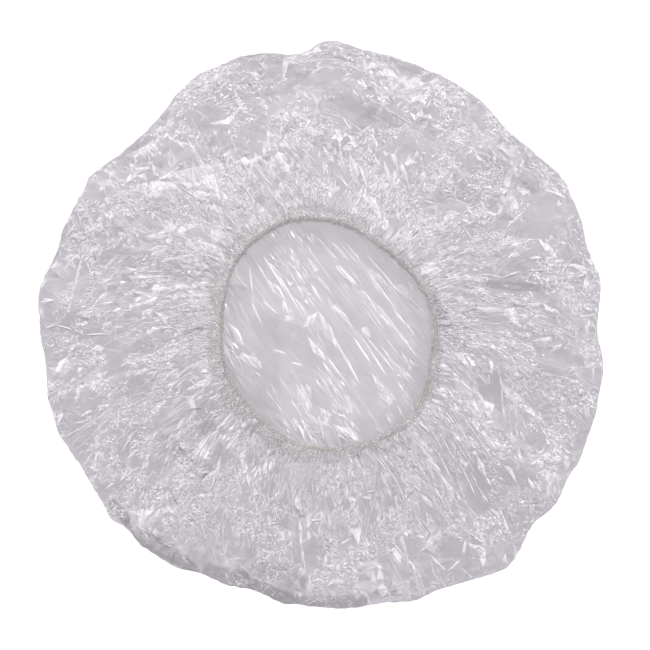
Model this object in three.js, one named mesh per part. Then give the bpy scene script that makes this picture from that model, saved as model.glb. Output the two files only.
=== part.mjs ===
// Disposable shower cap: a clear film disc lying crown down with its gathered
// mouth up. The outer part of the disc is folded back over the crown as a skirt,
// and its edge is a narrow hem casing round a loop of elastic.
// Millimetres, +Z up, origin on the ground under the middle of the outline.

import * as THREE from 'three';

// ---- driving dimensions -------------------------------------------------

const SECTORS = 12;          // pleat sectors round the cap
const FILM_T = 0.6;          // drawn thickness of the film
const GAP = 0.3;             // clearance between neighbouring pieces
const FOLD_INSET = 3.0;      // fold line inside the outline, at a sector's ends
const MOUTH_Z = 10.0;        // height of the hem's centre line
const HEM_W = 6.0;           // hem casing across, in plan
const HEM_H = 4.0;           // hem casing height
const HEM_WALL = 0.5;        // hem casing wall
const ELASTIC_D = 1.4;       // elastic thread
const ELASTIC_IN = 0.9;      // elastic thread inside the hem's centre line
const LAP_OUT = 0.9;         // lapped end outside the hem's centre line
const LAP_DEG = 10.0;        // length of the lap, as an angle
const LAP_AT = 330.0;        // where the elastic is joined

// Radius of the outer fold, every 5 degrees from +X towards +Y.
const OUTLINE = [
  136.7, 138.8, 140.5, 137.5, 138.1, 139.4, 140.3, 137.9, 135.3, 133.5, 134.6, 136.3,
  138.5, 137.3, 137.2, 137.5, 137.9, 139.8, 140.8, 134.8, 136.3, 138.0, 138.1, 138.1,
  135.7, 132.0, 129.7, 129.3, 132.2, 134.5, 135.1, 135.1, 136.6, 136.0, 138.9, 140.3,
  139.3, 138.3, 138.4, 140.0, 140.8, 139.4, 138.0, 138.0, 139.9, 139.8, 140.5, 140.5,
  141.4, 137.3, 137.6, 135.0, 137.9, 138.5, 139.1, 140.3, 140.4, 141.6, 144.0, 143.2,
  145.9, 149.5, 150.3, 146.0, 145.3, 145.3, 143.7, 143.9, 143.4, 142.1, 141.4, 138.8,
];

// Radius of the hem's centre line, every 15 degrees from +X towards +Y.
const MOUTH = [
  56.7, 54.8, 51.9, 50.3, 50.0, 52.0, 53.0, 54.7, 54.4, 53.7, 52.2, 50.4,
  49.8, 51.2, 53.2, 53.9, 56.6, 59.6, 61.4, 62.5, 63.5, 64.0, 60.7, 57.5,
];

// ---- outline and mouth as polar curves ----------------------------------

const rad = (deg) => (deg * Math.PI) / 180;

// Periodic Catmull-Rom interpolation of radii given at equal angles.
function polar(table, deg) {
  const n = table.length;
  const x = ((((deg % 360) + 360) % 360) / 360) * n;
  const i = Math.floor(x);
  const f = x - i;
  const at = (j) => table[(j + n) % n];
  const a = at(i - 1), b = at(i), c = at(i + 1), d = at(i + 2);
  return b + 0.5 * f * (c - a + f * (2 * a - 5 * b + 4 * c - d + f * (3 * (b - c) + d - a)));
}

const rawOutline = OUTLINE.map((r, i) => new THREE.Vector2(
  r * Math.cos(rad(5 * i)), r * Math.sin(rad(5 * i))));
const box = new THREE.Box2().setFromPoints(rawOutline);
const mid = box.getCenter(new THREE.Vector2());

// A point at a polar angle and radius, shifted so that the outline's box is
// centred on the origin.
function plan(deg, r) {
  return new THREE.Vector2(r * Math.cos(rad(deg)) - mid.x, r * Math.sin(rad(deg)) - mid.y);
}

// ---- materials ----------------------------------------------------------

const film = new THREE.MeshStandardMaterial({
  color: 0xd3ced5, roughness: 0.22, metalness: 0, transparent: true, opacity: 0.6 });
const hemFilm = new THREE.MeshStandardMaterial({
  color: 0xc8c3bd, roughness: 0.3, metalness: 0, transparent: true, opacity: 0.7 });
const rubber = new THREE.MeshStandardMaterial({
  color: 0xded7c4, roughness: 0.7, metalness: 0 });

const cap = new THREE.Group();

function mesh(geometry, material, name, parent) {
  const m = new THREE.Mesh(geometry, material);
  m.name = name;
  parent.add(m);
  return m;
}

// ---- crown: the flat middle of the disc, out to the fold -----------------

const crownShape = new THREE.Shape(rawOutline.map((p) => p.clone().sub(mid)));
mesh(new THREE.ExtrudeGeometry(crownShape, { depth: FILM_T, bevelEnabled: false }),
  film, 'crown_film', cap);

// ---- sections of the hem and the elastic ---------------------------------

// An ellipse whose first half-axis stands up and whose second lies in plan.
function ellipse(up, across, sides) {
  const pts = [];
  for (let i = 0; i < sides; i++) {
    const a = (2 * Math.PI * (i + 0.5)) / sides;
    pts.push(new THREE.Vector2(up * Math.cos(a), across * Math.sin(a)));
  }
  return pts;
}

const hemShape = new THREE.Shape(ellipse(HEM_H / 2, HEM_W / 2, 12));
hemShape.holes.push(new THREE.Path(
  ellipse(HEM_H / 2 - HEM_WALL, HEM_W / 2 - HEM_WALL, 12).reverse()));
const threadShape = new THREE.Shape(ellipse(ELASTIC_D / 2, ELASTIC_D / 2, 8));

// A run along the mouth between two angles, offset outwards from the centre line.
function run(from, to, out, steps) {
  const pts = [];
  for (let i = 0; i <= steps; i++) {
    const deg = from + ((to - from) * i) / steps;
    const p = plan(deg, polar(MOUTH, deg) + out);
    pts.push(new THREE.Vector3(p.x, p.y, MOUTH_Z));
  }
  return new THREE.CatmullRomCurve3(pts);
}

// ---- pleat sectors --------------------------------------------------------

for (let k = 0; k < SECTORS; k++) {
  const step = 360 / SECTORS;
  const centre = k * step;
  const from = centre - step / 2;
  const to = centre + step / 2;
  const id = String(k + 1).padStart(2, '0');

  // The fold is the straight line between the sector's two outer corners.
  const a = plan(from, polar(OUTLINE, from) - FOLD_INSET);
  const b = plan(to, polar(OUTLINE, to) - FOLD_INSET);
  const along = b.clone().sub(a).normalize();
  const inward = new THREE.Vector2(-along.y, along.x);
  const hinge = a.clone().add(b).multiplyScalar(0.5);

  // Sector outline in plan: the fold, then the mouth side from end to end.
  const side = GAP * 0.75;
  const corners = [];
  const put = (deg, r, shift) => {
    const p = plan(deg, r);
    const t = new THREE.Vector2(-Math.sin(rad(deg)), Math.cos(rad(deg)));
    corners.push(p.addScaledVector(t, shift));
  };
  put(from, polar(OUTLINE, from) - FOLD_INSET, side);
  put(to, polar(OUTLINE, to) - FOLD_INSET, -side);
  const arc = 8;
  for (let i = arc; i >= 0; i--) {
    const deg = from + (step * i) / arc;
    const shift = i === arc ? -side : i === 0 ? side : 0;
    put(deg, polar(MOUTH, deg) + HEM_W / 2 + 2 * GAP, shift);
  }

  // The sector is a flat plate that leans up from the fold to the mouth.
  const reach = plan(centre, polar(MOUTH, centre) + HEM_W / 2 + 2 * GAP).sub(hinge).dot(inward);
  const lift = MOUTH_Z - FILM_T - GAP - FILM_T / 2;
  const lean = Math.atan2(lift, reach);
  const shape = new THREE.Shape(corners.map((p) => {
    const q = p.clone().sub(hinge);
    return new THREE.Vector2(q.dot(along), q.dot(inward) / Math.cos(lean));
  }));

  const frame = new THREE.Group();
  frame.position.set(hinge.x, hinge.y, FILM_T + GAP);
  frame.rotation.z = Math.atan2(along.y, along.x);
  const leaf = new THREE.Group();
  leaf.rotation.x = lean;
  frame.add(leaf);
  cap.add(frame);
  mesh(new THREE.ExtrudeGeometry(shape, { depth: FILM_T, bevelEnabled: false }),
    film, `skirt_pleat_${id}`, leaf);

  // Hem casing and the elastic in it, one length of each per sector.
  const end = 0.3;
  mesh(new THREE.ExtrudeGeometry(hemShape, {
    steps: 8, bevelEnabled: false, extrudePath: run(from + end, to - end, 0, 16) }),
    hemFilm, `hem_casing_${id}`, cap);
  mesh(new THREE.ExtrudeGeometry(threadShape, {
    steps: 8, bevelEnabled: false, extrudePath: run(from + end, to - end, -ELASTIC_IN, 16) }),
    rubber, `elastic_band_${id}`, cap);
}

// ---- lapped end where the elastic loop is joined --------------------------

mesh(new THREE.ExtrudeGeometry(threadShape, {
  steps: 4, bevelEnabled: false,
  extrudePath: run(LAP_AT - LAP_DEG / 2, LAP_AT + LAP_DEG / 2, LAP_OUT, 8) }),
  rubber, 'elastic_lap_end', cap);

export default cap;
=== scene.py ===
# Disposable shower cap lying crown down with its gathered mouth up.
# All shapes are worked out in millimetres and scaled to metres when meshed.

import bpy
import math
import numpy as np
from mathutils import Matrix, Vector
from mathutils.geometry import delaunay_2d_cdt


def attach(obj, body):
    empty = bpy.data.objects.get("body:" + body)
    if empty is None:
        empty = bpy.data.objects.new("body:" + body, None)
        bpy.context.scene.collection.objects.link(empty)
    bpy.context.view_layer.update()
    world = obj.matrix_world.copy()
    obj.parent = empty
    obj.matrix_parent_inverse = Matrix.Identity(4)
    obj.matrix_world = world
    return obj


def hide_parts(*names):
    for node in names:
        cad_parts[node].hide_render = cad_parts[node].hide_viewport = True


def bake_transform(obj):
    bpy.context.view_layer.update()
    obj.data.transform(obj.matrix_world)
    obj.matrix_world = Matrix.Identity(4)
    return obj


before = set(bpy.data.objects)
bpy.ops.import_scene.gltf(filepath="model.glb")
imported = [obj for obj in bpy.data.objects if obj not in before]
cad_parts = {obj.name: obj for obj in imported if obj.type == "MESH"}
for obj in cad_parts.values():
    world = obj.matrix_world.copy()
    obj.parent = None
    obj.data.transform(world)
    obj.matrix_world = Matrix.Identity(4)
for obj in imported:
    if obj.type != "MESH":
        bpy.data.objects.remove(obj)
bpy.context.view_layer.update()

SECTORS = 12

# ---------------------------------------------------------------------------
# Outline of the outer fold and of the mouth, as polar curves about a point
# that lies close to the origin.

PX = 0.493                      # millimetres to one pixel of the reference frame
POLE = (0.257, -0.517)          # pole of the polar curves

OUTLINE = np.array([
    136.3, 136.9, 137.9, 139.1, 139.5, 138.1, 137.1, 136.9, 137.9, 138.6, 138.9, 138.9,
    139.8, 139.2, 137.8, 136.0, 135.0, 134.1, 133.2, 133.3, 134.3, 135.4, 136.3, 136.4,
    136.6, 136.9, 137.1, 136.7, 137.4, 137.0, 137.6, 137.5, 137.7, 138.3, 139.8, 140.8,
    140.0, 136.3, 134.7, 135.0, 136.6, 137.8, 138.4, 138.8, 138.2, 137.9, 138.3, 137.6,
    136.0, 134.6, 132.2, 130.7, 129.7, 129.1, 129.5, 130.0, 130.8, 132.7, 134.4, 136.2,
    135.1, 135.3, 135.4, 135.7, 136.5, 135.8, 136.2, 137.5, 138.9, 140.3, 140.5, 139.6,
    139.2, 139.0, 138.1, 137.6, 138.1, 138.8, 139.9, 139.7, 140.0, 140.4, 139.1, 138.6,
    137.6, 137.9, 138.2, 138.7, 139.7, 141.1, 139.3, 139.0, 140.3, 140.0, 139.7, 139.7,
    139.0, 137.0, 136.1, 136.2, 136.4, 135.6, 134.9, 135.6, 137.3, 138.8, 138.2, 138.8,
    139.1, 139.8, 140.1, 140.2, 140.0, 140.3, 141.5, 143.0, 143.5, 142.7, 143.1, 144.2,
    145.6, 147.3, 149.2, 150.6, 149.3, 146.9, 144.4, 143.3, 144.5, 145.3, 144.5, 143.2,
    143.3, 143.9, 143.1, 142.6, 142.4, 142.3, 141.4, 141.1, 141.1, 140.3, 138.6, 136.7]) + 0.2
MOUTH = np.array([
    56.7, 54.8, 51.9, 50.3, 50.0, 52.0, 53.0, 54.7, 54.4, 53.7, 52.2, 50.4,
    49.8, 51.2, 53.2, 53.9, 56.6, 59.6, 61.4, 62.5, 63.5, 64.0, 60.7, 57.5])
MOUTH_Z = 10.0
FOLD_R = 0.5                    # radius of the rounded outer fold


def periodic(table, th):
    """Catmull-Rom interpolation of a table given at equal angles."""
    n = len(table)
    x = (th % (2 * np.pi)) / (2 * np.pi) * n
    i = np.floor(x).astype(int)
    f = x - i
    a, b, c, d = (table[(i + k) % n] for k in (-1, 0, 1, 2))
    return b + 0.5 * f * (c - a + f * (2 * a - 5 * b + 4 * c - d + f * (3 * (b - c) + d - a)))


def wave(th, seed, terms, lo, hi):
    """A smooth random function of the angle, between about -1 and 1."""
    r = np.random.default_rng(seed)
    out = np.zeros_like(th)
    for _ in range(terms):
        out += np.cos(r.integers(lo, hi + 1) * th + r.uniform(0, 2 * np.pi))
    return out / math.sqrt(terms)


def out_radius(th):
    return periodic(OUTLINE, th) + 0.12 * wave(th, 3, 8, 90, 210)


def ring_radius(th):
    return periodic(MOUTH, th)


def fold_lift(th):
    """How far the outer fold stands off the ground."""
    return 1.1 + 1.0 * np.clip(wave(th, 4, 7, 5, 19), -1.0, 2.2)


# ---------------------------------------------------------------------------
# Crumpled film: a sum of nets of flat triangles and of roof-shaped creases. All
# their edges become edges of the mesh, so that every facet is truly flat.


def photo_xy(u, v):
    """Plan position of a pixel of the reference frame, in millimetres."""
    return (u - 321.5) * PX + POLE[0], -(v - 325.5) * PX + POLE[1]


def smooth(a, b, x):
    t = np.clip((x - a) / (b - a), 0, 1)
    return t * t * (3 - 2 * t)


def lattice(x, y, scale, seed):
    """Gradient noise of a given cell size."""
    g = np.random.default_rng(seed).uniform(0, 2 * np.pi, (64, 64))
    gx, gy = np.cos(g), np.sin(g)
    u, v = x / scale + 1000.0, y / scale + 1000.0
    i, j = np.floor(u).astype(int), np.floor(v).astype(int)
    f, h = u - i, v - j

    def corner(a, b):
        ia, jb = (i + a) % 64, (j + b) % 64
        return gx[jb, ia] * (f - a) + gy[jb, ia] * (h - b)

    sf = f * f * f * (f * (f * 6 - 15) + 10)
    sh = h * h * h * (h * (h * 6 - 15) + 10)
    return 1.5 * ((corner(0, 0) * (1 - sf) + corner(1, 0) * sf) * (1 - sh)
                  + (corner(0, 1) * (1 - sf) + corner(1, 1) * sf) * sh)


def log_between(rng, lo, hi):
    return math.exp(rng.uniform(math.log(lo), math.log(hi)))


class Feature:
    """height * min over planes of (c - a t - b n), where positive."""

    def __init__(self, x, y, angle, planes, height, pts, segs):
        c, s = math.cos(angle), math.sin(angle)
        self.x, self.y, self.c, self.s, self.height = x, y, c, s, height
        self.planes = planes
        local = np.array(pts, float)
        self.pts = np.stack([x + local[:, 0] * c - local[:, 1] * s, y + local[:, 0] * s + local[:, 1] * c], -1)
        self.segs = segs
        self.lo, self.hi = self.pts.min(0), self.pts.max(0)

    def add(self, px, py, z):
        near = np.nonzero((py > self.lo[1]) & (py < self.hi[1]))[0]
        if not len(near):
            return
        dx, dy = px[near] - self.x, py[near] - self.y
        t = dx * self.c + dy * self.s
        n = dy * self.c - dx * self.s
        m = None
        for k, a, b in self.planes:
            v = k - a * t - b * n
            m = v if m is None else np.minimum(m, v)
        z[near] += self.height * np.clip(m, 0, None)


def ridge(x, y, angle, length, width, height, taper=0.5):
    """A long crease like a hipped roof; length and width are half-sizes."""
    e = (1 - taper) * length
    g = 1 / (taper * length)
    pts = [(-length, 0), (-e, 0), (e, 0), (length, 0), (-e, width), (e, width), (-e, -width), (e, -width)]
    segs = [(0, 1), (1, 2), (2, 3), (0, 4), (4, 5), (5, 3), (0, 6), (6, 7), (7, 3), (1, 4), (2, 5), (1, 6), (2, 7)]
    planes = [(k, a, b / width) for b in (1, -1) for k, a in ((1.0, 0.0), (length * g, g), (length * g, -g))]
    return Feature(x, y, angle, planes, height, pts, segs)


def mark(u0, v0, u1, v1, width, slope, taper=0.55):
    """A crease between two points of the reference frame, with its width in pixels."""
    x0, y0 = photo_xy(u0, v0)
    x1, y1 = photo_xy(u1, v1)
    half = 0.5 * width * PX
    return ridge((x0 + x1) / 2, (y0 + y1) / 2, math.atan2(y1 - y0, x1 - x0), math.hypot(x1 - x0, y1 - y0) / 2,
                 half, half * slope, 0.85 if width > 3.2 else taper)


# Folds that stand out, as segments in the reference frame: ends, width and slope.
CROWN_MARKS = [
    (335, 264, 357, 285, 7, 0.40), (360, 287, 378, 313, 4, 0.42), (378, 313, 395, 330, 3, 0.45), (370, 269, 387, 285, 5, 0.40),
    (396, 284, 427, 314, 7, 0.33), (392, 307, 415, 337, 2.5, 0.45), (404, 322, 415, 337, 5, 0.40), (332, 304, 352, 327, 6, 0.38),
    (320, 313, 337, 350, 8, 0.36), (308, 337, 326, 362, 8, 0.36), (317, 276, 332, 296, 4, 0.42), (268, 279, 285, 299, 6, 0.38),
    (283, 304, 292, 318, 8, 0.36), (305, 327, 317, 313, 6, 0.38), (308, 258, 317, 272, 5, 0.40), (290, 255, 300, 270, 5, 0.40),
    (294, 268, 306, 285, 3, 0.45), (240, 353, 257, 368, 9, 0.36), (227, 322, 243, 345, 9, 0.36), (291, 363, 303, 366, 3, 0.45),
    (272, 350, 286, 354, 3, 0.45), (372, 374, 392, 405, 7, 0.38), (398, 382, 415, 412, 5, 0.40), (389, 359, 416, 382, 4, 0.40),
    (402, 352, 412, 372, 4, 0.40), (297, 385, 303, 408, 7, 0.36), (306, 383, 311, 400, 5, 0.40), (292, 417, 305, 441, 8, 0.36),
    (335, 426, 355, 441, 8, 0.36), (318, 415, 324, 440, 4, 0.42), (345, 392, 352, 412, 5, 0.40), (350, 400, 362, 418, 2.5, 0.45),
    (300, 400, 318, 426, 2, 0.5), (248, 258, 254, 307, 2, 0.5), (330, 240, 350, 262, 2, 0.5), (340, 235, 362, 262, 2, 0.5),
    (355, 255, 398, 312, 2, 0.5), (365, 250, 400, 298, 2, 0.5), (375, 262, 412, 310, 2, 0.5), (345, 275, 385, 330, 2, 0.5),
    (352, 335, 372, 365, 2, 0.5), (358, 332, 388, 378, 2, 0.5), (365, 335, 395, 372, 2, 0.5), (330, 330, 352, 372, 2, 0.5),
    (343, 352, 360, 385, 2, 0.5), (325, 355, 348, 385, 2, 0.5), (380, 345, 420, 395, 2, 0.5), (300, 285, 318, 312, 2, 0.5),
    (275, 270, 300, 312, 2, 0.5), (285, 262, 305, 300, 2, 0.5), (262, 300, 278, 315, 2, 0.5), (250, 300, 262, 325, 2, 0.45),
    (300, 240, 312, 252, 2, 0.5), (312, 232, 340, 262, 2, 0.45), (295, 232, 322, 268, 2, 0.45), (405, 300, 430, 330, 2, 0.5),
    (410, 340, 428, 368, 2, 0.5), (256, 262, 276, 296, 2.5, 0.42), (262, 254, 286, 292, 2, 0.5), (232, 350, 244, 372, 2.5, 0.42),
    (322, 222, 398, 312, 1.6, 0.30), (340, 224, 432, 334, 1.6, 0.30), (312, 230, 392, 338, 1.6, 0.30), (356, 232, 434, 322, 1.6, 0.30),
    (302, 240, 372, 334, 1.6, 0.30), (372, 300, 430, 374, 1.6, 0.30), (350, 290, 424, 388, 1.6, 0.30), (334, 250, 410, 346, 1.6, 0.30),
    (384, 262, 436, 326, 1.6, 0.30), (360, 352, 412, 424, 1.6, 0.30), (283, 300, 291, 322, 9, 0.36), (248, 356, 262, 368, 8, 0.36),
    (362, 327, 370, 337, 6, 0.36), (376, 380, 388, 402, 6, 0.36), (301, 385, 308, 412, 9, 0.34), (319, 408, 330, 420, 7, 0.36)]

SKIRT_MARKS = [
    # upper left
    (187, 138, 205, 170, 4, 0.42), (205, 170, 219, 195, 8, 0.40), (219, 195, 226, 206, 3, 0.45), (175, 183, 195, 198, 2, 0.5),
    (113, 188, 145, 219, 2, 0.5), (120, 187, 137, 196, 2, 0.5), (214, 202, 228, 225, 2, 0.5), (224, 208, 236, 228, 2, 0.5),
    (199, 170, 208, 182, 3, 0.42), (212, 200, 226, 226, 2.5, 0.5), (196, 150, 212, 182, 2, 0.5), (186, 198, 197, 211, 2, 0.5),
    (148, 142, 160, 154, 9, 0.34), (129, 163, 139, 171, 7, 0.36), (152, 165, 158, 175, 5, 0.38), (192, 88, 204, 84, 3, 0.42),
    # top
    (239, 112, 265, 119, 2, 0.5), (265, 119, 277, 128, 2, 0.5), (271, 124, 312, 168, 2, 0.5), (280, 128, 318, 165, 2, 0.5),
    (362, 94, 410, 124, 2, 0.5), (352, 82, 372, 102, 2.5, 0.45), (297, 64, 315, 66, 2, 0.45), (312, 59, 344, 60, 2, 0.4),
    (246, 101, 257, 102, 2.5, 0.5), (343, 118, 378, 142, 2, 0.5), (343, 118, 352, 132, 4, 0.4), (322, 112, 345, 119, 2, 0.45),
    (296, 150, 314, 172, 2, 0.5), (330, 168, 360, 200, 2, 0.5), (262, 120, 290, 150, 2, 0.45), (292, 152, 310, 176, 2.5, 0.45),
    (250, 160, 275, 190, 2, 0.45), (262, 178, 284, 212, 2, 0.5), (240, 180, 262, 215, 2.5, 0.45), (268, 200, 280, 222, 3, 0.45),
    (322, 146, 334, 162, 5, 0.38), (350, 155, 358, 178, 6, 0.36), (358, 165, 367, 186, 4, 0.4), (369, 195, 381, 220, 7, 0.38),
    (390, 150, 398, 170, 5, 0.38), (400, 160, 410, 190, 4, 0.4), (384, 160, 392, 190, 3, 0.42), (392, 190, 400, 225, 3, 0.42),
    (356, 80, 367, 88, 8, 0.35), (380, 93, 388, 100, 7, 0.36), (294, 92, 310, 98, 6, 0.36), (290, 112, 306, 120, 6, 0.36),
    # upper right
    (390, 112, 413, 125, 2, 0.55), (413, 125, 427, 133, 3, 0.5), (427, 133, 466, 159, 2, 0.55), (431, 124, 449, 133, 4, 0.42),
    (457, 115, 499, 159, 2.5, 0.55), (499, 159, 512, 166, 2.5, 0.5), (457, 102, 479, 117, 2.5, 0.5), (435, 119, 443, 125, 4, 0.4),
    (418, 121, 425, 118, 3, 0.4), (396, 108, 404, 100, 3, 0.42), (427, 110, 432, 98, 2, 0.5), (455, 97, 459, 106, 2, 0.5),
    (496, 146, 512, 160, 3, 0.45), (520, 166, 540, 178, 3, 0.45), (470, 146, 478, 154, 4, 0.42), (460, 112, 472, 126, 2, 0.5),
    (506, 228, 526, 210, 3, 0.45), (566, 222, 577, 214, 2, 0.5), (400, 205, 410, 230, 3, 0.4), (441, 190, 456, 194, 3, 0.4),
    (408, 196, 442, 206, 2, 0.5), (548, 190, 566, 198, 4, 0.38), (480, 200, 488, 216, 4, 0.38), (466, 205, 474, 220, 4, 0.38),
    # right
    (479, 274, 502, 278, 3, 0.45), (502, 278, 522, 271, 3, 0.5), (522, 271, 555, 270, 2, 0.5), (567, 279, 591, 274, 3, 0.45),
    (530, 258, 542, 258, 4, 0.4), (502, 246, 517, 240, 5, 0.4), (515, 246, 532, 239, 5, 0.4), (508, 258, 518, 253, 5, 0.38),
    (567, 239, 576, 255, 2.5, 0.5), (576, 255, 560, 276, 2.5, 0.5), (572, 240, 577, 252, 3, 0.45), (589, 250, 591, 256, 3, 0.45),
    (499, 340, 515, 346, 4, 0.42), (510, 343, 535, 348, 4, 0.42), (532, 341, 555, 338, 4, 0.4), (509, 352, 535, 371, 2, 0.5),
    (537, 357, 573, 369, 2.5, 0.5), (525, 355, 548, 366, 2, 0.45), (488, 358, 492, 374, 6, 0.36), (497, 360, 504, 409, 2, 0.5),
    (551, 352, 562, 344, 5, 0.38), (557, 386, 566, 387, 3, 0.45), (478, 330, 500, 333, 2, 0.45), (560, 290, 563, 312, 2, 0.45),
    (571, 292, 569, 315, 2, 0.45), (581, 318, 599, 313, 2, 0.5), (462, 352, 478, 378, 2, 0.5), (446, 360, 465, 382, 2, 0.5),
    (440, 340, 470, 372, 2, 0.45), (432, 330, 460, 352, 2, 0.45), (470, 240, 484, 256, 2, 0.5), (462, 225, 476, 245, 2, 0.5),
    # lower right
    (449, 411, 472, 451, 2.5, 0.55), (472, 451, 478, 457, 4, 0.45), (477, 456, 486, 477, 6, 0.4), (486, 477, 491, 487, 3, 0.45),
    (470, 419, 480, 432, 4, 0.42), (478, 430, 496, 448, 6, 0.40), (506, 464, 517, 483, 3.5, 0.45), (418, 443, 432, 462, 7, 0.36),
    (430, 460, 442, 477, 6, 0.38), (441, 475, 453, 504, 4, 0.42), (450, 420, 470, 450, 2, 0.5), (460, 440, 472, 462, 2, 0.5),
    (436, 428, 460, 470, 2, 0.5), (430, 440, 455, 485, 2, 0.45), (425, 420, 445, 455, 2, 0.45), (470, 470, 486, 505, 2, 0.5),
    (472, 480, 490, 505, 2.5, 0.45), (497, 503, 513, 542, 3, 0.45), (490, 508, 502, 520, 5, 0.38), (461, 527, 487, 547, 2.5, 0.48),
    (478, 551, 486, 551, 6, 0.36), (463, 558, 447, 573, 2, 0.45), (463, 558, 466, 540, 3, 0.45), (463, 558, 478, 560, 2, 0.4),
    (430, 555, 447, 573, 2, 0.45), (502, 400, 506, 425, 2, 0.45), (508, 400, 511, 430, 2.5, 0.45), (514, 400, 517, 428, 2.5, 0.45),
    (520, 430, 526, 445, 3, 0.4), (549, 440, 555, 445, 5, 0.4), (561, 410, 566, 413, 4, 0.42), (528, 478, 534, 490, 5, 0.38),
    (534, 480, 541, 492, 5, 0.36), (540, 425, 548, 438, 2, 0.45), (552, 482, 557, 495, 3, 0.45), (422, 495, 432, 507, 4, 0.42),
    (433, 485, 444, 505, 2.5, 0.45), (420, 520, 432, 535, 2.5, 0.45), (418, 447, 436, 480, 2, 0.45), (445, 425, 478, 478, 2, 0.5),
    (456, 408, 500, 470, 2, 0.5), (440, 405, 466, 440, 2, 0.5), (428, 400, 452, 432, 2, 0.5), (455, 455, 478, 500, 2, 0.45),
    # bottom
    (268, 451, 269, 513, 1.8, 0.5), (268, 513, 271, 531, 4, 0.42), (299, 518, 302, 548, 3.5, 0.42), (302, 548, 304, 572, 3, 0.45),
    (309, 521, 322, 520, 3, 0.42), (368, 448, 399, 486, 2, 0.55), (375, 450, 402, 490, 2, 0.5), (399, 486, 406, 510, 3, 0.42),
    (362, 515, 365, 530, 3, 0.42), (340, 545, 352, 538, 2.5, 0.45), (225, 561, 242, 559, 2.5, 0.48), (229, 536, 221, 563, 2, 0.5),
    (254, 538, 247, 552, 2, 0.5), (284, 522, 262, 526, 2, 0.5), (308, 527, 318, 539, 2.5, 0.45), (326, 586, 342, 578, 5, 0.34),
    (311, 584, 322, 578, 3, 0.45), (367, 492, 376, 491, 2, 0.5), (362, 497, 372, 499, 3, 0.42), (400, 535, 408, 560, 4, 0.38),
    (408, 560, 416, 572, 3, 0.4), (234, 465, 242, 500, 3, 0.42), (244, 455, 250, 490, 3, 0.42), (310, 470, 313, 500, 3, 0.42),
    (322, 485, 326, 512, 3, 0.4), (380, 470, 392, 500, 3, 0.42), (345, 470, 348, 500, 2.5, 0.42), (287, 470, 292, 505, 2.5, 0.42),
    # lower left
    (221, 457, 212, 488, 4, 0.42), (203, 480, 217, 470, 4, 0.4), (137, 429, 121, 453, 3, 0.45), (134, 432, 126, 444, 4, 0.4),
    (161, 422, 187, 405, 2, 0.5), (158, 432, 180, 417, 2, 0.5), (152, 440, 156, 430, 2, 0.45), (116, 484, 142, 465, 2, 0.5),
    (120, 482, 128, 470, 3.5, 0.42), (136, 496, 155, 469, 2, 0.5), (142, 519, 153, 482, 2.5, 0.48), (142, 525, 164, 501, 2.5, 0.48),
    (171, 517, 195, 489, 2, 0.5), (176, 518, 200, 492, 2, 0.5), (82, 469, 94, 448, 2, 0.5), (92, 470, 97, 452, 5, 0.38),
    (97, 452, 106, 462, 4, 0.38), (141, 528, 155, 540, 2, 0.5), (155, 540, 175, 549, 2, 0.5), (175, 549, 191, 568, 2, 0.5),
    (70, 423, 104, 425, 2, 0.45), (97, 408, 110, 405, 4, 0.4), (80, 417, 92, 410, 4, 0.4), (150, 470, 160, 480, 2, 0.45),
    (205, 408, 207, 415, 3, 0.42), (215, 405, 222, 392, 2.5, 0.45), (165, 400, 172, 396, 3, 0.42), (200, 520, 206, 545, 2.5, 0.42),
    # left
    (81, 257, 71, 302, 4, 0.42), (72, 306, 85, 304, 2.5, 0.45), (77, 314, 98, 308, 7, 0.36), (90, 309, 109, 290, 4, 0.42),
    (135, 250, 91, 285, 2, 0.5), (130, 250, 100, 276, 2, 0.5), (124, 271, 169, 272, 2, 0.5), (169, 272, 186, 271, 2, 0.45),
    (150, 250, 168, 246, 6, 0.36), (150, 256, 166, 249, 5, 0.38), (145, 238, 168, 235, 5, 0.38), (173, 258, 200, 255, 4, 0.4),
    (184, 240, 198, 252, 5, 0.36), (160, 262, 176, 258, 5, 0.38), (126, 278, 170, 276, 4, 0.36), (149, 290, 170, 288, 8, 0.34),
    (145, 303, 158, 298, 6, 0.36), (156, 312, 170, 320, 7, 0.35), (146, 333, 158, 328, 6, 0.36), (44, 329, 55, 325, 2.5, 0.5),
    (55, 325, 72, 330, 2.5, 0.5), (72, 330, 84, 335, 2.5, 0.5), (84, 335, 113, 334, 2.5, 0.5), (102, 330, 111, 322, 6, 0.36),
    (92, 350, 103, 348, 7, 0.34), (92, 364, 104, 354, 7, 0.36), (78, 360, 98, 366, 5, 0.36), (56, 374, 66, 357, 9, 0.32),
    (123, 360, 140, 358, 4, 0.4), (125, 362, 140, 368, 4, 0.4), (112, 382, 122, 373, 2, 0.5), (122, 373, 143, 371, 2, 0.5),
    (84, 373, 112, 383, 2, 0.5), (91, 382, 103, 387, 5, 0.4), (92, 392, 100, 380, 5, 0.38), (163, 380, 178, 368, 6, 0.36),
    (166, 388, 178, 380, 5, 0.36), (200, 372, 211, 372, 6, 0.36), (187, 377, 175, 389, 2, 0.5), (187, 377, 200, 390, 2, 0.5),
    (196, 355, 212, 365, 2, 0.5), (64, 225, 75, 215, 4, 0.4), (66, 235, 78, 222, 3, 0.42), (64, 250, 74, 252, 3, 0.42),
    (86, 262, 90, 275, 3, 0.42), (93, 248, 96, 262, 3, 0.42), (112, 250, 125, 235, 3, 0.42), (118, 232, 126, 238, 6, 0.36)]

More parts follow.
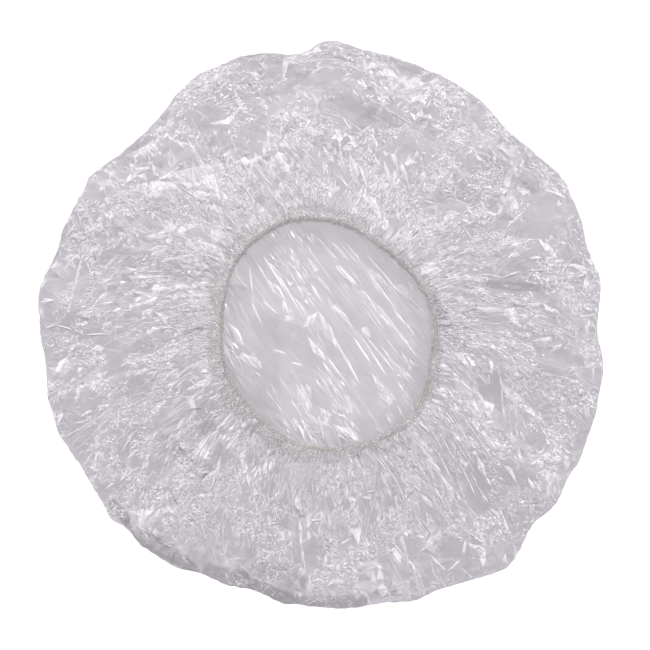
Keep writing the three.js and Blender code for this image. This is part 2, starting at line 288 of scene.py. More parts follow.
# Patches of fine crumple and patches that lie smooth: centre and half-sizes.
CRUMPLED = [
    (154, 148, 8, 8), (134, 166, 8, 7), (214, 186, 6, 10), (78, 216, 10, 14), (143, 207, 9, 8), (361, 83, 8, 8), (385, 96, 7, 7),
    (256, 81, 9, 7), (302, 96, 11, 6), (297, 115, 13, 9), (329, 154, 8, 10), (358, 168, 9, 16), (376, 206, 8, 15), (445, 168, 16, 10),
    (486, 184, 16, 11), (450, 190, 10, 8), (478, 212, 13, 13), (404, 107, 6, 5), (558, 192, 13, 9), (517, 244, 16, 5), (585, 301, 14, 14),
    (525, 305, 11, 16), (517, 344, 19, 4), (460, 402, 12, 9), (580, 398, 20, 13), (535, 485, 7, 9), (495, 519, 10, 15), (376, 546, 9, 10),
    (349, 558, 10, 11), (332, 578, 24, 10), (268, 568, 22, 13), (215, 475, 8, 8), (192, 511, 17, 18), (130, 475, 14, 7), (98, 463, 9, 14),
    (138, 442, 10, 13), (103, 406, 8, 5), (87, 414, 8, 6), (97, 386, 8, 7), (92, 356, 14, 12), (106, 327, 7, 6), (88, 312, 11, 7),
    (160, 315, 9, 10), (180, 317, 11, 10), (152, 331, 7, 5), (160, 289, 11, 5), (148, 278, 22, 4), (186, 250, 14, 13), (159, 251, 9, 6),
    (171, 375, 9, 12), (205, 371, 7, 6), (132, 363, 10, 6), (75, 232, 13, 22), (560, 430, 18, 20), (545, 460, 16, 14), (520, 500, 12, 12),
    (190, 462, 10, 16), (470, 318, 10, 16), (230, 480, 10, 22), (430, 350, 8, 10), (180, 345, 14, 8), (245, 195, 12, 22), (410, 210, 12, 18)]
SMOOTH = [
    (305, 80, 25, 12), (325, 85, 20, 12), (350, 110, 30, 14), (380, 115, 25, 14), (540, 215, 36, 26), (250, 140, 12, 18), (520, 265, 18, 7),
    (505, 288, 28, 8), (470, 500, 10, 24), (135, 345, 22, 10), (115, 365, 12, 12), (75, 285, 13, 16), (155, 545, 22, 12), (225, 575, 18, 10),
    (280, 595, 18, 10), (325, 602, 34, 8), (100, 190, 14, 10), (205, 120, 20, 15), (195, 160, 12, 20), (400, 575, 12, 8), (210, 440, 18, 20),
    (590, 380, 12, 12), (430, 145, 20, 8), (540, 150, 14, 10), (500, 420, 14, 12), (265, 360, 14, 34), (290, 325, 12, 16), (360, 360, 14, 18)]

# Places painted darker: painted shade, in part also film lying in several thicknesses: ends, half-width and how much.
SKIRT_LAYERS_AND_SHADE = [
    (136, 536, 176, 558, 8, 1.0), (176, 558, 194, 572, 6, 1.0), (210, 574, 242, 580, 9, 0.9), (266, 590, 292, 603, 7, 1.0), (292, 602, 362, 602, 6, 0.8),
    (244, 580, 266, 592, 5, 0.9), (112, 504, 134, 530, 5, 0.8), (433, 301, 443, 314, 5, 0.6), (440, 320, 460, 344, 6, 0.4),
    (490, 284, 545, 288, 4, 0.6), (545, 288, 590, 276, 4, 0.4), (164, 442, 204, 470, 9, 0.45), (335, 97, 398, 124, 7, 0.35),
    (480, 152, 532, 188, 6, 0.35), (258, 568, 300, 584, 8, 0.45), (208, 428, 216, 448, 7, 0.4)]
# A band painted darker across the crown: painted shade, in part also film in several layers.
CROWN_LAYERS_AND_SHADE = [(266, 322, 268, 398, 13, 0.3)]

# Grain of the film: a direction at places of the reference frame.
GRAIN = np.array([
    (300, 170, 41, 44), (240, 180, 14, 22), (215, 210, 14, 26), (340, 120, 30, 25), (360, 170, 12, 30), (390, 200, 10, 28),
    (410, 130, 48, 30), (470, 130, 42, 40), (520, 220, 20, -18), (510, 275, 30, -3), (560, 270, 24, -5), (530, 345, 30, 4),
    (540, 365, 30, 14), (500, 390, 5, 30), (465, 440, 23, 40), (490, 450, 23, 35), (430, 470, 20, 36), (510, 520, 14, 36),
    (400, 480, 25, 35), (340, 500, 2, 30), (300, 540, 2, 30), (270, 500, 1, 30), (230, 500, -8, 30), (190, 500, -22, 28),
    (150, 490, -18, 28), (130, 450, -15, 28), (170, 415, 26, -17), (100, 420, 30, 3), (120, 375, 25, -10), (90, 350, 30, -5),
    (100, 330, 30, 0), (110, 270, 40, -35), (75, 280, -10, 45), (150, 272, 40, 1), (180, 240, 30, 16), (80, 220, 10, 30),
    (140, 200, 30, 28), (190, 190, 16, 22), (200, 160, 35, 60), (250, 120, 30, 14), (300, 70, 30, -2), (450, 90, 30, 18),
    (560, 200, 15, -12), (590, 330, 10, 30), (580, 400, 20, 20), (550, 480, 15, 25), (420, 560, 10, 25), (350, 580, 25, -10),
    (210, 560, 25, 20), (150, 540, 30, 22)], float)
GX, GY = photo_xy(GRAIN[:, 0], GRAIN[:, 1])
GA = np.arctan2(-GRAIN[:, 3], GRAIN[:, 2])


def in_ring(r0, r1):
    def place(rng, count):
        a = rng.uniform(0, 2 * np.pi, count)
        r = np.sqrt(rng.uniform(r0 * r0, r1 * r1, count))
        return POLE[0] + r * np.cos(a), POLE[1] + r * np.sin(a)
    return place


def by_mouth(lo, hi):
    def place(rng, count):
        a = rng.uniform(-np.pi, np.pi, count)
        r = ring_radius(a) + rng.uniform(lo, hi, count)
        return POLE[0] + r * np.cos(a), POLE[1] + r * np.sin(a)
    return place


def smooth_patch(x, y):
    """Whether a place lies in one of the smooth patches."""
    out = np.zeros(len(x), bool)
    for u, v, ru, rv in SMOOTH:
        cx, cy = photo_xy(u, v)
        out |= ((x - cx) / (ru * PX)) ** 2 + ((y - cy) / (rv * PX)) ** 2 < 1
    return out


def quiet(x, y, marks, rng):
    """Places left to the marked folds and to the smooth patches."""
    near = smooth_patch(x, y)
    for u0, v0, u1, v1, width, _ in marks:
        ax, ay = photo_xy(u0, v0)
        bx, by = photo_xy(u1, v1)
        dx, dy = bx - ax, by - ay
        t = np.clip(((x - ax) * dx + (y - ay) * dy) / (dx * dx + dy * dy), 0, 1)
        near |= np.hypot(x - ax - t * dx, y - ay - t * dy) < 0.5 * width * PX + 0.7
    return near & (rng.random(len(x)) < 0.85)


def grain_angle(x, y):
    """Direction of the film's grain: out from the mouth close to it, and as the table says further out."""
    th = np.arctan2(y - POLE[1], x - POLE[0])
    gap = np.hypot(x - POLE[0], y - POLE[1]) - ring_radius(th)
    w = 1 / ((x[:, None] - GX) ** 2 + (y[:, None] - GY) ** 2 + 60.0) ** 1.5
    w = w / w.sum(1, keepdims=True) * smooth(4, 26, gap)[:, None]
    own = 1 - w.sum(1)
    c = (w * np.cos(2 * GA)).sum(1) + own * np.cos(2 * th)
    s = (w * np.sin(2 * GA)).sum(1) + own * np.sin(2 * th)
    return 0.5 * np.arctan2(s, c)


def skirt_direction(tight=0.2):
    def direction(x, y, rng):
        return grain_angle(x, y) + rng.normal(0, tight, len(x))
    return direction


STREAK = math.atan2(-0.82, 0.57)   # direction of the streaks across the crown


def crown_direction(spread):
    def direction(x, y, rng):
        r = np.hypot(x - POLE[0] - 4, y - POLE[1] + 5)
        return STREAK + rng.normal(0, 1, len(x)) * (spread + 0.5 * np.clip((r - 60) / 70, 0, 1))
    return direction


def thin(rng, xs, ys, mask, marks):
    """Drops places where the mask is low or the film is taken."""
    if mask is None:
        return xs, ys
    keep = (lattice(xs, ys, mask[1], mask[0]) > mask[2]) & ~quiet(xs, ys, marks, rng)
    return xs[keep], ys[keep]


def creases(rng, count, place, direction, length, width, slope, bunch=(1, 6), mask=None, marks=(), taper=(0.15, 0.5)):
    """Bunches of long straight creases that lie side by side."""
    xs, ys = thin(rng, *place(rng, count), mask, marks)
    out = []
    for x, y, a in zip(xs, ys, direction(xs, ys, rng)):
        for _ in range(int(rng.integers(*bunch))):
            ln = log_between(rng, *length)
            wd = log_between(rng, *width)
            off, slip = rng.normal(0, 1.8), rng.normal(0, 0.35 * ln)
            ht = wd * rng.uniform(*slope) * (1 if rng.random() < 0.6 else -1)
            out.append(ridge(x - off * math.sin(a) + slip * math.cos(a), y + off * math.cos(a) + slip * math.sin(a),
                             a + rng.normal(0, 0.08), ln, wd, ht, rng.uniform(*taper)))
    return out


class Net:
    """Crumpled film as flat triangles over scattered points, each point at a height of its own."""

    def __init__(self, x, y, h, tris):
        self.x, self.y, self.h = x, y, h
        self.tris = tris[np.abs(h[tris]).max(1) > 1e-6]
        e = np.sort(np.vstack([self.tris[:, (0, 1)], self.tris[:, (1, 2)], self.tris[:, (2, 0)]]), 1)
        self.edges = np.unique(e, axis=0)

    def part(self, keep):
        """The same net with only the triangles whose centre passes a test."""
        out = Net.__new__(Net)
        out.x, out.y, out.h = self.x, self.y, self.h
        mid = self.tris
        out.tris = self.tris[keep(self.x[mid].mean(1), self.y[mid].mean(1))]
        e = np.sort(np.vstack([out.tris[:, (0, 1)], out.tris[:, (1, 2)], out.tris[:, (2, 0)]]), 1)
        out.edges = np.unique(e, axis=0)
        return out

    def segments(self):
        pts = np.stack([self.x, self.y], -1)
        return pts[self.edges[:, 0]], pts[self.edges[:, 1]]

    def height(self, px, py):
        """Heights at plan positions, by way of a grid of cells that list the triangles over them."""
        X, Y, H = self.x[self.tris], self.y[self.tris], self.h[self.tris]
        g = max(0.8 * float(np.median(X.max(1) - X.min(1))), 0.4)
        x0, x1 = (np.floor((v + 400) / g).astype(np.int64) for v in (X.min(1) - 1e-4, X.max(1) + 1e-4))
        y0, y1 = (np.floor((v + 400) / g).astype(np.int64) for v in (Y.min(1) - 1e-4, Y.max(1) + 1e-4))
        nx, count = x1 - x0 + 1, (x1 - x0 + 1) * (y1 - y0 + 1)
        tri = np.repeat(np.arange(len(count)), count)
        k = np.arange(len(tri)) - np.repeat(np.cumsum(count) - count, count)
        key = (x0[tri] + k % nx[tri]) * 100003 + y0[tri] + k // nx[tri]
        order = np.argsort(key, kind="stable")
        key, tri = key[order], tri[order]
        want = np.floor((px + 400) / g).astype(np.int64) * 100003 + np.floor((py + 400) / g).astype(np.int64)
        lo, hi = np.searchsorted(key, want, "left"), np.searchsorted(key, want, "right")
        det = (Y[:, 1] - Y[:, 2]) * (X[:, 0] - X[:, 2]) + (X[:, 2] - X[:, 1]) * (Y[:, 0] - Y[:, 2])
        det = np.where(np.abs(det) < 1e-9, 1e9, det)
        z = np.zeros_like(px)
        for c in range(int((hi - lo).max()) if len(px) else 0):
            i = np.nonzero(lo + c < hi)[0]
            t = tri[lo[i] + c]
            dx, dy = px[i] - X[t, 2], py[i] - Y[t, 2]
            u = ((Y[t, 1] - Y[t, 2]) * dx + (X[t, 2] - X[t, 1]) * dy) / det[t]
            v = ((Y[t, 2] - Y[t, 0]) * dx + (X[t, 0] - X[t, 2]) * dy) / det[t]
            w = 1 - u - v
            ok = (u > -1e-5) & (v > -1e-5) & (w > -1e-5)
            z[i[ok]] = (u * H[t, 0] + v * H[t, 1] + w * H[t, 2])[ok]
        return z


def delaunay(cx, cy):
    out = delaunay_2d_cdt([Vector(v) for v in np.stack([cx, cy], -1).tolist()], [], [], 0, 1e-5, True)
    keep = [o[0] for o in out[3]]
    return np.array(keep)[np.array(out[2], np.int64)]


PLAN = np.arange(-156.0, 156.5, 1.0)
PLAN_X, PLAN_Y = np.meshgrid(PLAN, PLAN)


class Field:
    """A function of the plan position, kept at every millimetre."""

    def __init__(self, fn):
        self.v = fn(PLAN_X.ravel(), PLAN_Y.ravel()).reshape(PLAN_X.shape)

    def __call__(self, x, y):
        i = np.clip(np.rint(y + 156), 0, len(PLAN) - 1).astype(int)
        j = np.clip(np.rint(x + 156), 0, len(PLAN) - 1).astype(int)
        return self.v[i, j]

    def widened(self, reach):
        """Where the field is above zero within a distance."""
        w = self.v > 0.02
        for _ in range(int(math.ceil(reach))):
            for axis in (0, 1):
                w = w | np.roll(w, 1, axis) | np.roll(w, -1, axis)
        out = Field.__new__(Field)
        out.v = w
        return out


def heights(rng, x, y, spacing, amount, share, mask, marks):
    h = rng.normal(0, 1, len(x)) * amount * spacing * (rng.random(len(x)) < share)
    if mask is not None:
        h = h * mask(x, y)
    return np.where(quiet(x, y, marks, rng), 0.15 * h, h)


def level_far(cx, cy, h, tris, pick, limit):
    """Sets the points of long triangles, at the rims of the patches, to zero height."""
    pts = np.stack([cx, cy], -1)[tris]
    size = np.max([np.hypot(*(pts[:, i] - pts[:, i - 1]).T) for i in range(3)], 0)
    h = h.copy()
    h[pick[tris[size > limit].ravel()]] = 0
    return h


def skirt_net(rng, spacing, stretch, amount, share, mask=None, r0=44.0, r1=153.0):
    """A net round the mouth whose facets are drawn out away from it."""
    n = int(2 * np.pi * 95 / spacing)
    m = int((r1 - r0) / (spacing * 0.87 * stretch)) + 1
    j, i = np.meshgrid(np.arange(n), np.arange(m))
    a = (j + 0.5 * (i % 2) + rng.uniform(-0.42, 0.42, j.shape)) * 2 * np.pi / n - np.pi
    r = r0 + (i + rng.uniform(-0.42, 0.42, j.shape)) * spacing * 0.87 * stretch
    a, r = a.ravel(), r.ravel()
    x, y = POLE[0] + r * np.cos(a), POLE[1] + r * np.sin(a)
    if mask is not None:
        near = mask.widened(2.0 * spacing * stretch)(x, y)
        a, r, x, y = a[near], r[near], x[near], y[near]
    h = heights(rng, x, y, spacing, amount, share, mask, SKIRT_MARKS)
    margin = 3.0 * spacing / 95
    left, right = a < -np.pi + margin, a > np.pi - margin
    pick = np.r_[np.arange(len(a)), np.nonzero(left)[0], np.nonzero(right)[0]]
    aa = np.r_[a, a[left] + 2 * np.pi, a[right] - 2 * np.pi]
    tris = delaunay(aa * 95, r[pick] / stretch)
    h = level_far(aa * 95, r[pick] / stretch, h, tris, pick, 2.6 * spacing)
    mid = aa[tris].mean(1)
    tris = pick[tris[(mid >= -np.pi) & (mid < np.pi)]]
    return Net(x, y, h, tris)


def plane_net(rng, spacing, stretch, angle, amount, share, mask=None, marks=()):
    """A net across the plan whose facets are drawn out at one angle."""
    half = 152.0
    c, s = math.cos(angle), math.sin(angle)
    t, n = np.meshgrid(np.arange(-half, half, spacing * stretch), np.arange(-half, half, spacing * 0.87))
    t = (t + (np.arange(t.shape[0]) % 2)[:, None] * 0.5 * spacing * stretch + rng.uniform(-0.42, 0.42, t.shape) * spacing * stretch).ravel()
    n = (n + rng.uniform(-0.42, 0.42, n.shape) * spacing).ravel()
    x, y = t * c - n * s, t * s + n * c
    near = np.hypot(x, y) < half
    if mask is not None:
        near &= mask.widened(2.0 * spacing * stretch)(x, y)
    t, n, x, y = t[near], n[near], x[near], y[near]
    h = heights(rng, x, y, spacing, amount, share, mask, marks)
    tris = delaunay(t / stretch, n)
    h = level_far(t / stretch, n, h, tris, np.arange(len(t)), 2.6 * spacing)
    return Net(x, y, h, tris)


def noise_mask(seed, scale, cut, soft=0.25):
    return Field(lambda x, y: smooth(cut, cut + soft, lattice(x, y, scale, seed)))


def patch_mask(patches, seed, cut, weak):
    """Inside any of the patches, with ragged rims, and less where the noise is high."""
    def mask(x, y):
        out = weak * smooth(cut, cut + 0.2, lattice(x, y, 18, seed))
        jag = 0.6 * lattice(x, y, 4.0, seed + 1)
        for u, v, ru, rv in patches:
            cx, cy = photo_xy(u, v)
            e = ((x - cx) / (ru * PX)) ** 2 + ((y - cy) / (rv * PX)) ** 2
            out = np.maximum(out, 1 - smooth(0.8, 1.15, e + jag))
        return out
    return Field(mask)


def by_mouth_mask(x, y):
    th = np.arctan2(y - POLE[1], x - POLE[0])
    gap = np.hypot(x - POLE[0], y - POLE[1]) - ring_radius(th)
    return (1 - smooth(6, 28, gap)) * (0.2 + 0.8 * smooth(-0.2, 0.35, lattice(x, y, 14, 33))) * (gap > -6)


def skirt_nets():
    """Nets of the skirt, each with the distance from the fold over which it comes in."""
    rng = np.random.default_rng(15)
    out = [(14.0, skirt_net(rng, 22, 1.2, 0.03, 1.0)),
           (7.0, skirt_net(rng, 10, 1.4, 0.05, 0.8)),
           (4.0, skirt_net(rng, 5, 1.5, 0.085, 0.45, noise_mask(51, 30, -0.5))),
           (2.0, skirt_net(rng, 2.4, 1.6, 0.115, 0.48, noise_mask(52, 24, -0.35))),
           (2.0, skirt_net(rng, 1.0, 3.0, 0.14, 0.7, Field(by_mouth_mask), 46.0, 98.0)),
           (1.5, skirt_net(rng, 1.15, 1.6, 0.125, 0.5, patch_mask(CRUMPLED, 53, -0.15, 0.8))),
           (1.2, skirt_net(rng, 0.64, 1.25, 0.20, 0.65, patch_mask(CRUMPLED, 55, 0.0, 0.8)))]
    return out


CROWN_CRUMPLED = [(405, 370, 16, 12), (325, 428, 42, 12), (302, 396, 10, 14), (345, 405, 14, 12), (300, 280, 12, 20), (236, 345, 9, 16), (285, 262, 16, 14)]


def crown_nets():
    rng = np.random.default_rng(19)
    m = CROWN_MARKS
    return [plane_net(rng, 12, 2.0, STREAK, 0.045, 0.8, None, m),
            plane_net(rng, 5, 3.0, STREAK, 0.08, 0.6, noise_mask(61, 30, -0.4), m),
            plane_net(rng, 2.0, 3.5, STREAK, 0.10, 0.45, noise_mask(62, 24, -0.1), m),
            plane_net(rng, 1.1, 2.4, STREAK, 0.17, 0.7, patch_mask(CROWN_CRUMPLED, 63, 0.42, 0.8), m)]


def skirt_features():
    rng = np.random.default_rng(5)
    band = in_ring(46, 147)
    m = SKIRT_MARKS
    out = creases(rng, 420, band, skirt_direction(0.3), (4, 20), (0.18, 0.30), (0.30, 0.6), (1, 5), (4, 40, -0.4), m)
    out += creases(rng, 700, band, skirt_direction(0.8), (1.0, 4.0), (0.16, 0.28), (0.25, 0.5), (1, 3), (8, 26, 0.0), m)
    out += creases(rng, 400, by_mouth(3, 34), skirt_direction(0.16), (2.5, 9), (0.20, 0.36), (0.3, 0.6), (1, 2), (7, 20, -0.5), m)
    out += folds(rng, m)
    return out


def folds(rng, table, pale=0.7, thin=1.0):
    """The folds of a table; a broad one is paler and carries fine creases along it."""
    out = []
    for u0, v0, u1, v1, width, slope in table:
        if width < 3.2:
            out.append(mark(u0, v0, u1, v1, width, thin * slope))
            continue
        out.append(mark(u0, v0, u1, v1, width, pale * slope))
        du, dv = u1 - u0, v1 - v0
        size = math.hypot(du, dv)
        for _ in range(int(width / 2.5) + 1):
            off = rng.uniform(-0.36, 0.36) * width
            a, b = rng.uniform(0.0, 0.35), rng.uniform(0.65, 1.0)
            pu, pv = u0 - off * dv / size, v0 + off * du / size
            out.append(mark(pu + a * du, pv + a * dv, pu + b * du + rng.normal(0, 0.6), pv + b * dv + rng.normal(0, 0.6), 1.5, 0.5))
    return out


def painted_highlight_patches(seed, table):
    """Wedges and kites along the broad folds whose faces are painted paler, a painted highlight: corners and strength.
    """
    rng = np.random.default_rng(seed)
    out = []
    for u0, v0, u1, v1, width, _ in table:
        if width < 3.2:
            continue
        du, dv = u1 - u0, v1 - v0
        size = math.hypot(du, dv)
        nu, nv = -dv / size, du / size
        if rng.random() < 0.45:
            along, across = (-0.1, rng.uniform(0.8, 1.1), rng.uniform(0.7, 1.0)), (0.0, rng.uniform(0.35, 0.9), -rng.uniform(0.35, 0.9))
        else:
            along = (-0.1, rng.uniform(0.15, 0.6), rng.uniform(0.9, 1.15), rng.uniform(0.4, 0.85))
            across = (0.0, rng.uniform(0.3, 0.8), rng.uniform(-0.3, 0.3), -rng.uniform(0.3, 0.8))
        if rng.random() < 0.5:
            along = tuple(1 - a for a in along)
        across = tuple(c * width for c in across)
        u = np.array([u0 + a * du + c * nu for a, c in zip(along, across)])
        v = np.array([v0 + a * dv + c * nv for a, c in zip(along, across)])
        out.append((np.stack(photo_xy(u, v), -1), rng.uniform(0.55, 1.0)))
    return out


def in_polygon(corners, x, y):
    inside = np.zeros(len(x), bool)
    for (ax, ay), (bx, by) in zip(corners, np.roll(corners, -1, 0)):
        if ay != by:
            inside ^= ((ay > y) != (by > y)) & (x < ax + (y - ay) * (bx - ax) / (by - ay))
    return inside


def crown_features():
    rng = np.random.default_rng(9)
    disc = in_ring(0, 140)
    m = CROWN_MARKS
    out = creases(rng, 260, disc, crown_direction(0.06), (4, 18), (0.16, 0.28), (0.16, 0.36), (1, 6), (22, 30, -0.3), m)
    out += folds(rng, m, 0.8, 0.75)
    return out


SKIRT = skirt_features()
CROWN = crown_features()
SKIRT_NETS = skirt_nets()
CROWN_NETS = crown_nets()
# Patches whose faces are painted paler on the film: painted highlights.
SKIRT_PAINTED_HIGHLIGHTS = painted_highlight_patches(81, SKIRT_MARKS)
CROWN_PAINTED_HIGHLIGHTS = painted_highlight_patches(82, CROWN_MARKS)


def heap(features, x, y):
    order = np.argsort(x, kind="stable")
    px, py = x[order], y[order]
    z = np.zeros_like(px)
    lo = np.searchsorted(px, [f.lo[0] for f in features])
    hi = np.searchsorted(px, [f.hi[0] for f in features])
    for f, a, b in zip(features, lo, hi):
        if b > a:
            f.add(px[a:b], py[a:b], z[a:b])
    out = np.empty_like(z)
    out[order] = z
    return out


def fold_arc(d):
    return np.sqrt(np.clip(FOLD_R ** 2 - (FOLD_R - np.minimum(d, FOLD_R)) ** 2, 0, None))


def crown_level(x, y):
    """The crown without its facets."""
    th = np.arctan2(y - POLE[1], x - POLE[0])
    d = np.clip(out_radius(th) - np.hypot(x - POLE[0], y - POLE[1]), 0, None)
    z = (0.8 + 0.3 * lattice(x, y, 40, 91)) * smooth(0.0, 12.0, d) + 0.06
    return fold_lift(th) * (1 - smooth(2, 34, d)) + z + (FOLD_R - fold_arc(d)) * 0.999, d


def crown_height(x, y):
    z, d = crown_level(x, y)
    z = z + (heap(CROWN, x, y) + sum(n.height(x, y) for n in CROWN_NETS)) * smooth(0.0, 6.0, d)
    return np.where(z < 0.3, 0.05 + 0.25 * np.exp((z - 0.3) / 0.25), z)      # pressed flat by the ground


def skirt_height(x, y, features, nets):
    th = np.arctan2(y - POLE[1], x - POLE[0])
    r = np.hypot(x - POLE[0], y - POLE[1])
    ro, ri = out_radius(th), ring_radius(th)
    d = np.clip(ro - r, 0, None)
    u = np.clip((d - FOLD_R) / (ro - ri - FOLD_R), 0, 1)
    base = fold_lift(th) + 0.06 + FOLD_R
    z = base + fold_arc(d) + (MOUTH_Z - base - FOLD_R) * (0.9 * u + 0.1 * u * u)
    z = z + heap(features, x, y) * smooth(0.0, 1.2, d) + sum(n.height(x, y) * smooth(0.0, w, d) for w, n in nets) + 0.6 * lattice(x, y, 40, 90) * smooth(0.0, 8.0, d)
    return np.maximum(z, crown_level(x, y)[0] + 0.3 * smooth(0.2, 3.0, d))


# ---------------------------------------------------------------------------
# Meshing

def mesh_grid(name, pts, close_u=False, smooth_faces=True):
    """A quad mesh over a grid of points, given in millimetres."""
    nu, nv = pts.shape[:2]
    idx = np.arange(nu * nv).reshape(nu, nv)
    if close_u:
        idx = np.vstack([idx, idx[:1]])
    quads = np.stack([idx[:-1, :-1], idx[1:, :-1], idx[1:, 1:], idx[:-1, 1:]], -1).reshape(-1, 4)
    return mesh_from(name, pts.reshape(-1, 3), quads, smooth_faces)


def mesh_from(name, verts, quads, smooth_faces):
    me = bpy.data.meshes.new(name)
    me.vertices.add(len(verts))
    me.vertices.foreach_set("co", (np.asarray(verts, np.float32) * 0.001).ravel())
    me.loops.add(quads.size)
    me.loops.foreach_set("vertex_index", quads.astype(np.int32).ravel())
    me.polygons.add(len(quads))
    me.polygons.foreach_set("loop_start", np.arange(0, quads.size, quads.shape[1], dtype=np.int32))
    me.polygons.foreach_set("use_smooth", np.full(len(quads), smooth_faces))
    me.update(calc_edges=True)
    me.validate()
    ob = bpy.data.objects.new(name, me)
    bpy.context.scene.collection.objects.link(ob)
    return ob


def mesh_tris(name, x, y, z, tris):
    return mesh_from(name, np.stack([x, y, z], -1), tris, False)


def layers_and_painted_shade(x, y, table):
    """Painted shade, partly also film lying in several layers: from 0 where none is painted to 1 where folds lie on
    each other.
    """
    out = np.zeros(len(x))
    rag = 0.3 * lattice(x, y, 7.0, 71)
    for u0, v0, u1, v1, half, much in table:
        ax, ay = photo_xy(u0, v0)
        bx, by = photo_xy(u1, v1)
        dx, dy = bx - ax, by - ay
        t = np.clip(((x - ax) * dx + (y - ay) * dy) / (dx * dx + dy * dy), 0, 1)
        e = np.hypot(x - ax - t * dx, y - ay - t * dy) / (half * PX)
        out = np.maximum(out, much * (1 - smooth(0.85, 1.15, e + rag)))
    return out


def tone(ob, x, y, table, patches):
    """Stores, for its material, the painted shade and the faces painted paler as a painted highlight."""
    me = ob.data
    mid = np.zeros(3 * len(me.polygons), np.float32)
    me.polygons.foreach_get("center", mid)
    mid = mid.reshape(-1, 3)[:, :2].astype(float) * 1000
    painted_highlight_amount = np.zeros(len(mid), np.float32)
    for corners, much in patches:
        lo, hi = corners.min(0), corners.max(0)
        i = np.nonzero((mid > lo).all(1) & (mid < hi).all(1))[0]
        i = i[in_polygon(corners, mid[i, 0], mid[i, 1])]
        painted_highlight_amount[i] = np.maximum(painted_highlight_amount[i], much)
    me.attributes.new("painted_highlight", "FLOAT", "FACE").data.foreach_set("value", painted_highlight_amount)
    if len(me.vertices) == len(x):
        at = me.attributes.new("layers_and_painted_shade", "FLOAT", "POINT")
        at.data.foreach_set("value", layers_and_painted_shade(x, y, table).astype(np.float32))
    return ob


def clip_segments(p, q, lo, hi):
    """Cuts segments p-q to a box; returns the pieces that are inside."""
    t0 = np.zeros(len(p))
    t1 = np.ones(len(p))
    with np.errstate(divide="ignore", invalid="ignore"):
        for k in (0, 1):
            d = q[:, k] - p[:, k]
            a = (lo[k] - p[:, k]) / d
            b = (hi[k] - p[:, k]) / d
            flat = np.abs(d) < 1e-9
            inside = (p[:, k] >= lo[k]) & (p[:, k] <= hi[k])
            t0 = np.where(flat, np.where(inside, t0, 2.0), np.maximum(t0, np.minimum(a, b)))
            t1 = np.where(flat, t1, np.minimum(t1, np.maximum(a, b)))
    keep = t1 - t0 > 1e-6
    p, q, t0, t1 = p[keep], q[keep], t0[keep, None], t1[keep, None]
    return p + (q - p) * t0, p + (q - p) * t1


def triangulate(points, p, q, loop=0):
    """Constrained Delaunay triangles over points, with segments p-q as edges.
    The last points may form a closed loop of edges."""
    n = len(points)
    verts = np.vstack([points, p, q])
    edges = [(n + i, n + len(p) + i) for i in range(len(p))]
    edges += [(n - loop + i, n - loop + (i + 1) % loop) for i in range(loop)]
    out = delaunay_2d_cdt([Vector(v) for v in verts.tolist()], edges, [], 0, 1e-4, False)
    return np.array([tuple(v) for v in out[0]]), np.array(out[2], np.int64)


# ---------------------------------------------------------------------------
# Materials

def node_material(name):
    m = bpy.data.materials.new(name)
    m.use_nodes = True
    nt = m.node_tree
    bsdf = nt.nodes["Principled BSDF"]
    coord = nt.nodes.new("ShaderNodeTexCoord")
    return m, nt, bsdf, coord


def noise_node(nt, coord, scale, detail, rough=0.5):
    n = nt.nodes.new("ShaderNodeTexNoise")
    n.inputs["Scale"].default_value = scale
    n.inputs["Detail"].default_value = detail
    n.inputs["Roughness"].default_value = rough
    nt.links.new(coord.outputs["Object"], n.inputs["Vector"])
    return n


def ramp_node(nt, fac, stops):
    r = nt.nodes.new("ShaderNodeValToRGB")
    while len(r.color_ramp.elements) < len(stops):
        r.color_ramp.elements.new(0.5)
    for e, (p, c) in zip(r.color_ramp.elements, stops):
        e.position = p
        e.color = (*c, 1.0) if len(c) == 3 else c
    nt.links.new(fac, r.inputs["Fac"])
    return r


def range_node(nt, fac, lo, hi):
    r = nt.nodes.new("ShaderNodeMapRange")
    r.inputs["From Min"].default_value = 0.3
    r.inputs["From Max"].default_value = 0.7
    r.inputs["To Min"].default_value = lo
    r.inputs["To Max"].default_value = hi
    nt.links.new(fac, r.inputs["Value"])
    return r


def math_node(nt, op, a, b=None):
    n = nt.nodes.new("ShaderNodeMath")
    n.operation = op
    for k, v in enumerate((a, b)):
        if v is None:
            continue
        if isinstance(v, (int, float)):
            n.inputs[k].default_value = v
        else:
            nt.links.new(v, n.inputs[k])
    return n.outputs[0]


def plan_coords(nt, coord, turn):
    """Two plan coordinates in metres: across and along the creases, which run
    out from the mouth or lie at a fixed angle."""
    sep = nt.nodes.new("ShaderNodeSeparateXYZ")
    nt.links.new(coord.outputs["Object"], sep.inputs[0])
    x = math_node(nt, "SUBTRACT", sep.outputs["X"], POLE[0] * 0.001)
    y = math_node(nt, "SUBTRACT", sep.outputs["Y"], POLE[1] * 0.001)
    if turn == "radial":
        across = math_node(nt, "MULTIPLY", math_node(nt, "ARCTAN2", y, x), 0.080)
        along = math_node(nt, "SQRT", math_node(nt, "ADD", math_node(nt, "MULTIPLY", x, x), math_node(nt, "MULTIPLY", y, y)))
        return across, along
    c, s = math.cos(turn), math.sin(turn)
    along = math_node(nt, "ADD", math_node(nt, "MULTIPLY", x, c), math_node(nt, "MULTIPLY", y, s))
    across = math_node(nt, "SUBTRACT", math_node(nt, "MULTIPLY", y, c), math_node(nt, "MULTIPLY", x, s))
    return across, along


